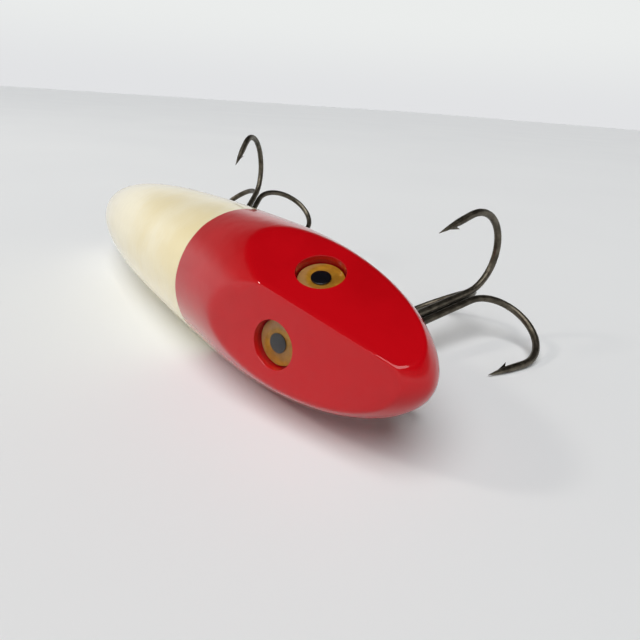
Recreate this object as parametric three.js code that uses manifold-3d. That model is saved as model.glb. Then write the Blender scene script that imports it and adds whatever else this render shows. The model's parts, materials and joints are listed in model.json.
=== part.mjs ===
// A turned wooden wobbler (a jointed fishing lure), lying on its side as it rests on a table.
// Units are millimetres and +Z is up. The body has its own frame inside the rest pose:
// the nose tip is at its origin, the axis runs along -X to the tail, and +Z is the back.
import * as THREE from "three";
import { mergeVertices } from "three/addons/utils/BufferGeometryUtils.js";
import Module from "manifold-3d";

const wasm = await Module();
wasm.setup();

// Body: a turned spindle. A station is a distance from the nose tip, along the axis.
const BODY_LENGTH = 95;
const BODY_RADIUS = 10;
const WIDEST_STATION = 30.6;
const NOSE_POWER = 2.38;
const NOSE_ROOT = 1.77;
const TAIL_POWER = 2.81;
const TAIL_ROOT = 2.25;
const TAIL_CUT_STATION = 94.2;
const BODY_STEPS = 28;
const BODY_SIDES = 40;

// Head: two facets planed on the back, which meet in a ridge and fall to each side.
const RIDGE_HEIGHT = 2.7;
const RIDGE_SLOPE = 0.367;
const FACET_FALL = 0.703;

// Eyes: a glass button over a painted disc and a pupil, on a wire stem in a drilled socket.
const EYE_STATION = 15.9;
const EYE_SIDE = 4.7;
const EYE_RADIUS = 2.6;
const PUPIL_RADIUS = 1.13;
const EYE_RECESS = 0.15;
const GLASS_EDGE = 0.2;
const GLASS_DOME = 0.3;
const DOME_STEPS = 3;
const EYE_DISC_THICKNESS = 0.2;
const STEM_RADIUS = 0.4;
const STEM_LENGTH = 4;
const COUNTERSINK = 0.4;
const COUNTERSINK_RISE = 0.15;

// Wire fittings.
const WIRE_RADIUS = 0.55;
const WIRE_SIDES = 6;
const ROUND_SIDES = 20;
const CLEARANCE = 0.15;
const DOUBLE_HOOK_STEPS = 84;
const SINGLE_HOOK_STEPS = 34;
const SCREW_EYE_STEPS = 30;
const SHANK_POINTS = 4;
const RING_POINTS = 14;
const RING_START = 0.35;
const CUTTER_RISE = 2;
const HANGER_RING_RADIUS = 2.2;
const HANGER_STAND_OFF = 0.4;
const HANGER_SHANK = 9;
const CUP_RADIUS = 4;
const CUP_DEPTH = 2.3;
const CUP_THICKNESS = 0.4;
const CUP_RIM_DEPTH = 0.95;
const CUP_CORNER = 1;
const CUP_FLOOR_SHARE = 0.75;
const TIE_WIRE_RADIUS = 0.5;
const TIE_RING_RADIUS = 1.6;
const TIE_BORE_DEPTH = 8;
const TIE_SHANK = 7;
const TIE_SEAT_RISE = 4;
const WASHER_RADIUS = 2.1;
const WASHER_THICKNESS = 0.4;
const LINE_TIE_STATION = 10;
const LINE_TIE_TILT = 70;
const LINE_TIE_SINK = 0.6;

// Treble hooks: three wires side by side, bent out to points, with an eye on the double hook.
const BUNDLE_RADIUS = 0.78;
const HOOK_REACH = 13.4;
const BEND_START = 22.1;
const POINT_LENGTH = 8;
const POINT_LEAN = 0.173;
const SPEAR_LENGTH = 4.4;
const BARB_HEIGHT = 1.15;
const BARB_LENGTH = 2.4;
const BARB_THICKNESS = 0.44;
const BARB_FOOT = 0.72;
const BEND_POINTS = 8;
const LAST_SHANK_SHARE = 0.87;
const TREBLE_EYE_RADIUS = 1.75;
const TREBLE_EYE_POINTS = 12;
const TREBLE_EYE_OPENING = 0.62;
const LINK_GAP = 0.25;
const SHANK_START = 3.1;
const SINGLE_HOOK_DROP = 0.9;
const COLLAR_TOP = 4.2;
const COLLAR_LENGTH = 3.6;
const COLLAR_SWELL = 0.35;
const COLLAR_WALL = 0.12;
const COLLAR_STEPS = 6;

// Rest pose, in degrees. Lean is sideways round the hanger's ring, trail is towards the tail,
// and twist turns the treble on its own shank.
const REST_PITCH = 1.26;
const REST_ROLL = 51.82;
const TREBLES = [
  { name: "front", station: 21, lean: 45.5, trail: 2.6, twist: 88.6 },
  { name: "rear", station: 63.8, lean: 69.3, trail: 38.3, twist: 70.2 },
];

const ENAMEL = { color: 0xe9dcb4, roughness: 0.22, metalness: 0 };
const GLASS = { color: 0xd8c49a, roughness: 0.05, metalness: 0 };
const AMBER = { color: 0xa8701c, roughness: 0.4, metalness: 0 };
const BLACK = { color: 0x14151a, roughness: 0.3, metalness: 0 };
const BRONZED_STEEL = { color: 0x4e4841, roughness: 0.4, metalness: 1 };
const NICKEL = { color: 0xa39c8c, roughness: 0.35, metalness: 1 };
const SOLDER = { color: 0x6f6558, roughness: 0.5, metalness: 1 };

const rad = THREE.MathUtils.degToRad;

// A closed geometry as a manifold solid.
function toSolid(geometry) {
  const bare = geometry.clone();
  bare.deleteAttribute("normal");
  bare.deleteAttribute("uv");
  const merged = mergeVertices(bare, 1e-4);
  const mesh = new wasm.Mesh({
    numProp: 3,
    vertProperties: merged.attributes.position.array,
    triVerts: new Uint32Array(merged.index.array),
  });
  return new wasm.Manifold(mesh);
}

// A manifold solid as a flat-shaded geometry.
function toGeometry(solid) {
  const { vertProperties, triVerts } = solid.getMesh();
  const indexed = new THREE.BufferGeometry();
  indexed.setAttribute("position", new THREE.BufferAttribute(vertProperties, 3));
  indexed.setIndex(new THREE.BufferAttribute(triVerts, 1));
  const geometry = indexed.toNonIndexed();
  geometry.computeVertexNormals();
  return geometry;
}

function meshOf(name, geometry, look) {
  const mesh = new THREE.Mesh(geometry, new THREE.MeshStandardMaterial(look));
  mesh.name = name;
  return mesh;
}

// A solid of revolution about Z. The profile is a closed list of [radius, z] pairs.
function turned(profile, sides) {
  const points = profile.map(([radius, z]) => new THREE.Vector2(radius, z));
  return new THREE.LatheGeometry(points, sides).rotateX(Math.PI / 2);
}

// A round wire along a curve.
function wire(curve, radius, steps) {
  const section = new THREE.Shape();
  for (let side = 0; side < WIRE_SIDES; side += 1) {
    const angle = (2 * Math.PI * (side + 0.5)) / WIRE_SIDES;
    const x = radius * Math.cos(angle);
    const y = radius * Math.sin(angle);
    if (side === 0) section.moveTo(x, y);
    else section.lineTo(x, y);
  }
  section.closePath();
  return new THREE.ExtrudeGeometry(section, { steps, extrudePath: curve, curveSegments: 1 });
}

function curveThrough(points) {
  return new THREE.CatmullRomCurve3(points, false, "centripetal");
}

function bodyRadius(station) {
  if (station < WIDEST_STATION) {
    const toNose = (WIDEST_STATION - station) / WIDEST_STATION;
    return BODY_RADIUS * (1 - toNose ** NOSE_POWER) ** (1 / NOSE_ROOT);
  }
  const toTail = (station - WIDEST_STATION) / (BODY_LENGTH - WIDEST_STATION);
  return BODY_RADIUS * (1 - toTail ** TAIL_POWER) ** (1 / TAIL_ROOT);
}

function spindle() {
  const profile = [];
  for (let step = 0; step <= BODY_STEPS; step += 1) {
    const station = (TAIL_CUT_STATION / 2) * (1 - Math.cos((Math.PI * step) / BODY_STEPS));
    const radius = step === 0 ? 0 : bodyRadius(station);
    profile.push([radius, station]);
  }
  profile.push([0, TAIL_CUT_STATION]);
  return turned(profile, BODY_SIDES).rotateY(-Math.PI / 2);
}

// The outward normal of the head facet on one side (+1 or -1).
function facetNormal(side) {
  return new THREE.Vector3(RIDGE_SLOPE, side * FACET_FALL, 1).normalize();
}

// A frame whose +Z is the given direction and whose origin is the given point.
function frameAt(point, direction) {
  const up = new THREE.Vector3(0, 0, 1);
  const turn = new THREE.Quaternion().setFromUnitVectors(up, direction);
  return new THREE.Matrix4().compose(point, turn, new THREE.Vector3(1, 1, 1));
}

// Everything above one head facet, which the plane takes off.
function planedOff(side) {
  const size = 5 * BODY_RADIUS;
  const block = new THREE.BoxGeometry(size, size, size).translate(0, 0, size / 2);
  const ridge = new THREE.Vector3(0, 0, RIDGE_HEIGHT);
  return block.applyMatrix4(frameAt(ridge, facetNormal(side)));
}

// The eye's frame: its origin is the socket's centre on the facet, and +Z points out.
function eyeFrame(side) {
  const height = RIDGE_HEIGHT + RIDGE_SLOPE * EYE_STATION - FACET_FALL * EYE_SIDE;
  const centre = new THREE.Vector3(-EYE_STATION, side * EYE_SIDE, height);
  return frameAt(centre, facetNormal(side));
}

const GLASS_BACK = -EYE_RECESS - GLASS_DOME - GLASS_EDGE;
const PUPIL_BACK = GLASS_BACK - CLEARANCE - EYE_DISC_THICKNESS;
const IRIS_BACK = PUPIL_BACK - CLEARANCE - EYE_DISC_THICKNESS;
const SOCKET_FLOOR = IRIS_BACK - CLEARANCE;

// The drilled and countersunk hole that an eye sits in.
function eyeSocket(side) {
  const wall = EYE_RADIUS + CLEARANCE;
  const stemWall = STEM_RADIUS + CLEARANCE;
  const stemFloor = SOCKET_FLOOR - STEM_LENGTH - 2 * CLEARANCE;
  const profile = [
    [0, stemFloor],
    [stemWall, stemFloor],
    [stemWall, SOCKET_FLOOR],
    [wall, SOCKET_FLOOR],
    [wall, -EYE_RECESS],
    [wall + COUNTERSINK, COUNTERSINK_RISE],
    [wall + COUNTERSINK, CUTTER_RISE],
    [0, CUTTER_RISE],
  ];
  return turned(profile, ROUND_SIDES).applyMatrix4(eyeFrame(side));
}

function eyeMeshes(side, sideName) {
  const frame = eyeFrame(side);
  const domeTop = GLASS_BACK + GLASS_EDGE + GLASS_DOME;
  const glass = [[0, GLASS_BACK], [EYE_RADIUS, GLASS_BACK]];
  for (let step = 0; step <= DOME_STEPS; step += 1) {
    const angle = (Math.PI / 2) * (step / DOME_STEPS);
    glass.push([EYE_RADIUS * Math.cos(angle), domeTop - GLASS_DOME * (1 - Math.sin(angle))]);
  }
  glass[glass.length - 1][0] = 0;
  const pupilTop = PUPIL_BACK + EYE_DISC_THICKNESS;
  const irisTop = IRIS_BACK + EYE_DISC_THICKNESS;
  const stemTop = SOCKET_FLOOR - CLEARANCE;
  const pieces = [
    ["glass", glass, GLASS],
    ["pupil", disc(PUPIL_RADIUS, PUPIL_BACK, pupilTop), BLACK],
    ["iris", disc(EYE_RADIUS, IRIS_BACK, irisTop), AMBER],
    ["stem", disc(STEM_RADIUS, stemTop - STEM_LENGTH, stemTop), NICKEL],
  ];
  return pieces.map(([piece, profile, look]) => {
    const sides = piece === "stem" ? WIRE_SIDES : ROUND_SIDES;
    const geometry = turned(profile, sides).applyMatrix4(frame);
    return meshOf(`${sideName}_eye_${piece}`, geometry, look);
  });
}

function disc(radius, bottom, top) {
  return [[0, bottom], [radius, bottom], [radius, top], [0, top]];
}

// A hanger's frame: the origin is on the belly line and +Z points out of the belly.
function hangerFrame(station) {
  const belly = new THREE.Vector3(-station, 0, -bodyRadius(station));
  return new THREE.Matrix4().makeRotationX(Math.PI).setPosition(belly);
}

// The recess that a hanger's cup and screw sit in.
function hangerRecess(station) {
  const wall = CUP_RADIUS + CLEARANCE;
  const floor = -CUP_RIM_DEPTH - CUP_DEPTH - CLEARANCE;
  const bore = WIRE_RADIUS + CLEARANCE;
  const shankEnd = HANGER_STAND_OFF - HANGER_RING_RADIUS - WIRE_RADIUS - HANGER_SHANK;
  const boreFloor = shankEnd - 2 * CLEARANCE;
  const profile = [
    [0, boreFloor],
    [bore, boreFloor],
    [bore, floor],
    [wall * CUP_FLOOR_SHARE, floor],
    [wall, floor + CUP_CORNER],
    [wall, CUTTER_RISE],
    [0, CUTTER_RISE],
  ];
  return turned(profile, ROUND_SIDES).applyMatrix4(hangerFrame(station));
}

function hangerCup(station) {
  const bore = WIRE_RADIUS + CLEARANCE;
  const floor = -CUP_RIM_DEPTH - CUP_DEPTH;
  const inner = CUP_RADIUS - CUP_THICKNESS;
  const profile = [
    [bore, floor],
    [CUP_RADIUS * CUP_FLOOR_SHARE, floor],
    [CUP_RADIUS, floor + CUP_CORNER],
    [CUP_RADIUS, -CUP_RIM_DEPTH],
    [inner, -CUP_RIM_DEPTH],
    [inner, floor + CUP_CORNER + CUP_THICKNESS / 2],
    [inner * CUP_FLOOR_SHARE, floor + CUP_THICKNESS],
    [bore, floor + CUP_THICKNESS],
    [bore, floor],
  ];
  return turned(profile, ROUND_SIDES).applyMatrix4(hangerFrame(station));
}

// A screw eye: a straight shank and a ring bent nearly shut. +Z points from shank to ring,
// the ring's centre is at the origin and the ring lies in the YZ plane.
function screwEye(ringRadius, wireRadius, shankLength) {
  const points = [];
  for (let step = 0; step <= SHANK_POINTS; step += 1) {
    const reach = ringRadius + wireRadius + shankLength * (1 - step / SHANK_POINTS);
    points.push(new THREE.Vector3(0, 0, -reach));
  }
  const opening = (2 * wireRadius + 2 * CLEARANCE) / ringRadius;
  const swept = 2 * Math.PI - opening - RING_START;
  for (let step = 0; step <= RING_POINTS; step += 1) {
    const angle = RING_START + (swept * step) / RING_POINTS;
    const y = ringRadius * Math.sin(angle);
    points.push(new THREE.Vector3(0, y, -ringRadius * Math.cos(angle)));
  }
  return wire(curveThrough(points), wireRadius, SCREW_EYE_STEPS);
}

function hangerScrewEye(station) {
  const out = new THREE.Matrix4().makeTranslation(0, 0, HANGER_STAND_OFF);
  const eye = screwEye(HANGER_RING_RADIUS, WIRE_RADIUS, HANGER_SHANK);
  return eye.applyMatrix4(hangerFrame(station).multiply(out));
}

// A seat for a small eye and its washer: the origin is on the wood, and +Z points out.
function tieSeats() {
  const tilt = rad(LINE_TIE_TILT);
  const chinOut = new THREE.Vector3(Math.cos(tilt), 0, -Math.sin(tilt));
  const chinRadius = bodyRadius(LINE_TIE_STATION);
  const chin = new THREE.Vector3(-LINE_TIE_STATION, 0, -chinRadius);
  chin.addScaledVector(chinOut, -LINE_TIE_SINK);
  const tail = new THREE.Vector3(-TAIL_CUT_STATION, 0, 0);
  const tailOut = new THREE.Vector3(-1, 0, 0);
  const quarterTurn = new THREE.Matrix4().makeRotationZ(Math.PI / 2);
  return {
    line_tie: frameAt(chin, chinOut).multiply(quarterTurn),
    tail: frameAt(tail, tailOut),
  };
}

function tieBore(frame) {
  const bore = TIE_WIRE_RADIUS + CLEARANCE;
  const wall = WASHER_RADIUS + CLEARANCE;
  const floor = -TIE_BORE_DEPTH;
  const hole = [[0, floor], [bore, floor], [bore, 0]];
  const seat = [[wall, 0], [wall, TIE_SEAT_RISE], [0, TIE_SEAT_RISE]];
  return turned([...hole, ...seat], ROUND_SIDES).applyMatrix4(frame);
}

function tieMeshes(name, frame) {
  const bore = TIE_WIRE_RADIUS + CLEARANCE;
  const bottom = CLEARANCE;
  const top = CLEARANCE + WASHER_THICKNESS;
  const inside = [[bore, top], [bore, bottom]];
  const outside = [[WASHER_RADIUS, bottom], [WASHER_RADIUS, top]];
  const washer = turned([inside[1], ...outside, ...inside], ROUND_SIDES).applyMatrix4(frame);
  const lift = top + CLEARANCE + TIE_RING_RADIUS + TIE_WIRE_RADIUS;
  const eye = screwEye(TIE_RING_RADIUS, TIE_WIRE_RADIUS, TIE_SHANK).translate(0, 0, lift);
  return [
    meshOf(`${name}_washer`, washer, NICKEL),
    meshOf(`${name}_screw_eye`, eye.applyMatrix4(frame), NICKEL),
  ];
}

function woodenBody() {
  let body = toSolid(spindle());
  for (const side of [1, -1]) {
    body = body.subtract(toSolid(planedOff(side)));
    body = body.subtract(toSolid(eyeSocket(side)));
  }
  for (const { station } of TREBLES) body = body.subtract(toSolid(hangerRecess(station)));
  for (const frame of Object.values(tieSeats())) body = body.subtract(toSolid(tieBore(frame)));
  return meshOf("wooden_body", toGeometry(body), ENAMEL);
}

// One prong's centre line in a treble's frame: down the shank, round the bend, up to the point.
function prongPoints(azimuth, top) {
  const out = new THREE.Vector3(Math.cos(azimuth), Math.sin(azimuth), 0);
  const bendRadius = (HOOK_REACH - BUNDLE_RADIUS) / 2;
  const at = (reach, depth) => out.clone().multiplyScalar(reach).setZ(-depth);
  const points = [];
  const shank = LAST_SHANK_SHARE * (BEND_START - top);
  for (let step = 0; step <= SHANK_POINTS; step += 1) {
    points.push(at(BUNDLE_RADIUS, top + (shank * step) / SHANK_POINTS));
  }
  for (let step = 0; step <= BEND_POINTS; step += 1) {
    const angle = (Math.PI * step) / BEND_POINTS;
    const reach = BUNDLE_RADIUS + bendRadius * (1 - Math.cos(angle));
    points.push(at(reach, BEND_START + bendRadius * Math.sin(angle)));
  }
  const straight = POINT_LENGTH - SPEAR_LENGTH;
  points.push(at(HOOK_REACH - POINT_LEAN * straight, BEND_START - straight));
  return points;
}

// The tapered point of a prong, with its barb on the side of the shank.
function spear(azimuth) {
  const straight = POINT_LENGTH - SPEAR_LENGTH;
  const root = new THREE.Vector3(HOOK_REACH - POINT_LEAN * straight, 0, straight - BEND_START);
  const direction = new THREE.Vector3(-POINT_LEAN, 0, 1).normalize();
  const [rootRadius, shoulderRadius] = [0.97 * WIRE_RADIUS, 0.55 * WIRE_RADIUS];
  const [overlap, rootEnd, shoulder] = [-0.4, 0.6, 0.6 * SPEAR_LENGTH];
  const cone = [
    [0, overlap],
    [rootRadius, overlap],
    [rootRadius, rootEnd],
    [shoulderRadius, shoulder],
    [0, SPEAR_LENGTH],
  ];
  const blade = new THREE.Shape();
  blade.moveTo(0, BARB_LENGTH + BARB_FOOT);
  blade.lineTo(-BARB_HEIGHT, 0);
  blade.lineTo(-shoulderRadius, BARB_FOOT);
  blade.lineTo(0, BARB_FOOT);
  blade.closePath();
  const barb = new THREE.ExtrudeGeometry(blade, { depth: BARB_THICKNESS, bevelEnabled: false });
  barb.translate(0, 0, -BARB_THICKNESS / 2).rotateX(Math.PI / 2);
  const spin = new THREE.Matrix4().makeRotationZ(azimuth);
  const place = spin.multiply(frameAt(root, direction));
  const point = toSolid(turned(cone, WIRE_SIDES).applyMatrix4(place));
  return point.add(toSolid(barb.applyMatrix4(place)));
}

// The centre of a treble's eye, below the hanger's wire, which is the treble's origin.
const TREBLE_EYE_DROP = TREBLE_EYE_RADIUS - 2 * WIRE_RADIUS - LINK_GAP;

// The double hook: one wire from point to point, bent round the eye between its shanks.
function doubleHook() {
  const side = (2 * Math.PI) / 3;
  const first = prongPoints(side, SHANK_START).reverse();
  const second = prongPoints(-side, SHANK_START);
  const loop = [];
  const swept = 2 * Math.PI - 2 * TREBLE_EYE_OPENING;
  for (let step = 0; step <= TREBLE_EYE_POINTS; step += 1) {
    const angle = -Math.PI / 2 - TREBLE_EYE_OPENING - (swept * step) / TREBLE_EYE_POINTS;
    const y = -TREBLE_EYE_RADIUS * Math.cos(angle);
    const z = TREBLE_EYE_RADIUS * Math.sin(angle) - TREBLE_EYE_DROP;
    loop.push(new THREE.Vector3(0, y, z));
  }
  const path = curveThrough([...first, ...loop, ...second]);
  const hook = toSolid(wire(path, WIRE_RADIUS, DOUBLE_HOOK_STEPS));
  return toGeometry(hook.add(spear(side)).add(spear(-side)));
}

function singleHook() {
  const top = SHANK_START + SINGLE_HOOK_DROP;
  const hook = toSolid(wire(curveThrough(prongPoints(0, top)), WIRE_RADIUS, SINGLE_HOOK_STEPS));
  return toGeometry(hook.add(spear(0)));
}

// The solder that binds the three shanks, drawn as a slim sleeve round them.
function solderCollar() {
  const inner = BUNDLE_RADIUS + WIRE_RADIUS + CLEARANCE;
  const profile = [];
  for (let step = 0; step <= COLLAR_STEPS; step += 1) {
    const share = step / COLLAR_STEPS;
    const swell = COLLAR_SWELL * Math.sqrt(Math.sin(Math.PI * share));
    profile.push([inner + COLLAR_WALL + swell, -COLLAR_TOP - COLLAR_LENGTH * (1 - share)]);
  }
  profile.push([inner, -COLLAR_TOP], [inner, -COLLAR_TOP - COLLAR_LENGTH]);
  profile.push(profile[0]);
  return turned(profile, ROUND_SIDES);
}

// A treble in its rest place. Its origin is the middle of the hanger's wire where it hangs.
function treble({ name, station, lean, trail, twist }) {
  const hook = new THREE.Group();
  hook.add(meshOf(`${name}_treble_double_hook`, doubleHook(), BRONZED_STEEL));
  hook.add(meshOf(`${name}_treble_single_hook`, singleHook(), BRONZED_STEEL));
  hook.add(meshOf(`${name}_treble_solder`, solderCollar(), SOLDER));
  hook.rotation.z = rad(twist);
  const trailing = new THREE.Group();
  trailing.rotation.y = rad(trail);
  trailing.add(hook);
  const leaning = new THREE.Group();
  const ringDrop = bodyRadius(station) + HANGER_STAND_OFF;
  const across = HANGER_RING_RADIUS * Math.sin(rad(lean));
  const down = HANGER_RING_RADIUS * Math.cos(rad(lean));
  leaning.position.set(-station, across, -ringDrop - down);
  leaning.rotation.x = rad(lean);
  leaning.add(trailing);
  return leaning;
}

function wobbler() {
  const lure = new THREE.Group();
  lure.add(woodenBody());
  lure.add(...eyeMeshes(1, "left"));
  lure.add(...eyeMeshes(-1, "right"));
  for (const hanger of TREBLES) {
    const cup = hangerCup(hanger.station);
    const eye = hangerScrewEye(hanger.station);
    lure.add(meshOf(`${hanger.name}_hanger_cup`, cup, NICKEL));
    lure.add(meshOf(`${hanger.name}_hanger_screw_eye`, eye, NICKEL));
    lure.add(treble(hanger));
  }
  for (const [name, frame] of Object.entries(tieSeats())) lure.add(...tieMeshes(name, frame));
  lure.rotation.set(rad(REST_ROLL), -rad(REST_PITCH), 0, "ZYX");
  return lure;
}

// The part's origin is the middle of its box, on the table.
function onTheTable(lure) {
  const part = new THREE.Group();
  part.add(lure);
  const box = new THREE.Box3().setFromObject(part, true);
  const centre = box.getCenter(new THREE.Vector3());
  lure.position.set(-centre.x, -centre.y, -box.min.z);
  return part;
}

export default onTheTable(wobbler());
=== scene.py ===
# %% [markdown]
# # A turned wooden wobbler
# This lesson dresses the jointed model of a fishing lure: a wooden body with a planed head,
# set-in eyes and two treble hooks on screw eyes. The frame holds every size and joint, so
# each piece here is made at its real size, in millimetres, and then laid into that frame.

# %% Load the frame
import json
import math

import bmesh
import bpy
from mathutils import Euler, Matrix, Vector


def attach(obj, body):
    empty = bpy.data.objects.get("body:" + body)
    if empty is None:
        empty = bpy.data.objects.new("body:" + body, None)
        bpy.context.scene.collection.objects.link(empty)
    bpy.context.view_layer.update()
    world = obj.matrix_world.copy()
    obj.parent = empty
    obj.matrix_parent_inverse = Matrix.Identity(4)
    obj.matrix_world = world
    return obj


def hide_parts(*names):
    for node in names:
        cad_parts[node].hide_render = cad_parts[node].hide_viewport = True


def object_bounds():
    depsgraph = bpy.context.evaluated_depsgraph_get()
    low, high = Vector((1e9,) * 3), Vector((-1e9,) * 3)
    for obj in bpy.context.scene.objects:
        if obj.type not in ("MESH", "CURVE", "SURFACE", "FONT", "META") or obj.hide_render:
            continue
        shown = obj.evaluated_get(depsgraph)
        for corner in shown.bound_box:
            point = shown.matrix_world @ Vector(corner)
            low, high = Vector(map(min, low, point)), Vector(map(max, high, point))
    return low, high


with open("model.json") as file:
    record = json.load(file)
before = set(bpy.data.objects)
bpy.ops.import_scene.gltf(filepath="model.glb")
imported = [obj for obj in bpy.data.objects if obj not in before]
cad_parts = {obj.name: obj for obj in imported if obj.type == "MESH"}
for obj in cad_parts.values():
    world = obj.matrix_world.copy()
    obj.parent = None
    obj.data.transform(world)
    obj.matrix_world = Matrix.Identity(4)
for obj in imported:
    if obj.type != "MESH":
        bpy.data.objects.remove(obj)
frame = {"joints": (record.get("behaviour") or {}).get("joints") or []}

cad_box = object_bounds()

# %% [markdown]
# ## Where the lure lies
# The body has its own frame: the nose tip is the origin, the axis runs along -X to the tail
# and +Z is the back. On the table the lure lies rolled on to one side with its nose a little
# up. The front treble's joint is a point that both frames know, so it places the nose.

# %% Sizes of the turned body and its frame
MM = 0.001
BODY_RADIUS = 10.0
BODY_LENGTH = 95.0
WIDEST_STATION = 30.6
NOSE_POWER, NOSE_ROOT = 2.38, 1.77
TAIL_POWER, TAIL_ROOT = 2.81, 2.25
TAIL_CUT_STATION = 94.2
REST_ROLL = math.radians(51.82)
REST_PITCH = math.radians(1.26)
HANGER_RING_RADIUS = 2.2
HANGER_STAND_OFF = 0.4
TREBLES = {
    "front": {"station": 21.0, "lean": 45.5, "trail": 2.6, "twist": 88.6},
    "rear": {"station": 63.8, "lean": 69.3, "trail": 38.3, "twist": 70.2},
}


def body_radius(station):
    """The turned body's radius at a distance from the nose, both in millimetres."""
    if station < WIDEST_STATION:
        share = (WIDEST_STATION - station) / WIDEST_STATION
        return BODY_RADIUS * (1 - share ** NOSE_POWER) ** (1 / NOSE_ROOT)
    share = min(1.0, (station - WIDEST_STATION) / (BODY_LENGTH - WIDEST_STATION))
    return BODY_RADIUS * (1 - share ** TAIL_POWER) ** (1 / TAIL_ROOT)


def hanging_point(treble):
    """Where a treble hangs on its screw eye, in the body's frame."""
    lean = math.radians(treble["lean"])
    belly = body_radius(treble["station"]) + HANGER_STAND_OFF
    down = HANGER_RING_RADIUS * math.cos(lean)
    return Vector((-treble["station"], HANGER_RING_RADIUS * math.sin(lean), -belly - down))


rest_turn = Euler((REST_ROLL, -REST_PITCH, 0)).to_matrix()
joint_places = {joint["name"]: Vector(joint["pos_m"]) for joint in frame["joints"]}
nose_tip = joint_places["front_treble_swing"] - rest_turn @ (hanging_point(TREBLES["front"]) * MM)
BODY_FRAME = Matrix.Translation(nose_tip) @ rest_turn.to_4x4() @ Matrix.Scale(MM, 4)
rear_miss = BODY_FRAME @ hanging_point(TREBLES["rear"]) - joint_places["rear_treble_swing"]
print("nose tip, mm:", [round(value / MM, 2) for value in nose_tip])
print("rear joint is met within", round(rear_miss.length / MM, 4), "mm")

# %% [markdown]
# ## Five small helpers
# Colours are written as the hex codes that a paint chart would give, so one function turns
# them to the linear values that a shader wants. The second adds a node with its settings and
# its links in one line. The third begins a material and puts the pattern coordinates in the
# body's own millimetres, so a scale of 1 means one wave in each millimetre. The last two mix
# colours, and map a value from one range to another.


# %% Colour, node and material helpers
def colour(code):
    """A linear RGBA colour from a six-digit sRGB hex code."""
    channels = [int(code[place:place + 2], 16) / 255 for place in (0, 2, 4)]
    linear = [c / 12.92 if c <= 0.04045 else ((c + 0.055) / 1.055) ** 2.4 for c in channels]
    return (*linear, 1.0)


def add(tree, kind, links=None, **settings):
    """Adds a node. Links and settings name its inputs; other settings are its properties."""
    node = tree.nodes.new(kind)
    for name, value in settings.items():
        if name.startswith("in_"):
            key = name[3:]
            node.inputs[int(key) if key.isdigit() else key.replace("_", " ")].default_value = value
        else:
            setattr(node, name, value)
    for name, output in (links or {}).items():
        tree.links.new(output, node.inputs[name])
    return node


def begin_material(name, **shader_values):
    """A material with its shader, and the body's coordinates in millimetres."""
    material = bpy.data.materials.new(name)
    material.use_nodes = True
    tree = material.node_tree
    shader = tree.nodes["Principled BSDF"]
    for key, value in shader_values.items():
        shader.inputs[key.replace("_", " ")].default_value = value
    place = add(tree, "ShaderNodeTexCoord").outputs["Object"]
    mapping = add(tree, "ShaderNodeMapping", {"Vector": place}, vector_type="TEXTURE",
                  in_Location=nose_tip, in_Rotation=rest_turn.to_euler(), in_Scale=(MM, MM, MM))
    return material, tree, shader, mapping.outputs["Vector"]


def blend(tree, factor, first, second):
    """Mixes two colours, each a colour value or another node's output."""
    node = add(tree, "ShaderNodeMix", data_type="RGBA", blend_type="MIX")
    for place, source in ((0, factor), (6, first), (7, second)):
        if isinstance(source, (float, int, tuple)):
            node.inputs[place].default_value = source
        else:
            tree.links.new(source, node.inputs[place])
    return node.outputs[2]


def curve_value(tree, source, low, high, out_low=0.0, out_high=1.0):
    """Maps a value from one range to another with soft ends."""
    node = add(tree, "ShaderNodeMapRange", {"Value": source}, interpolation_type="SMOOTHSTEP",
               in_1=low, in_2=high, in_3=out_low, in_4=out_high)
    return node.outputs[0]


print("cream, linear:", [round(value, 3) for value in colour("EDE3C3")])

# %% [markdown]
# ## The finish: gloss enamel on wood
# The body is dipped cream and its head is sprayed red, then a clear varnish goes over both.
# Sprayed enamel is a coloured base under a clear coat: the eye sees a deep even colour with
# a sharp reflection lying on it. Orange peel, about two millimetres across, makes the
# reflections swim. The head's edge was masked by eye, so the line wanders a little, and age
# has made the varnish yellower in places.

# %% Enamel: cream with a red head
PAINT_LINE_STATION = 36.1
PAINT_LINE_WANDER = 0.25
PAINT_LINE_SOFTNESS = 0.12
PAINT_STEP_START, PAINT_STEP_END = -0.5, 0.1
PALE_TAIL_START, PALE_TAIL_END = -60.0, -92.0


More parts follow.
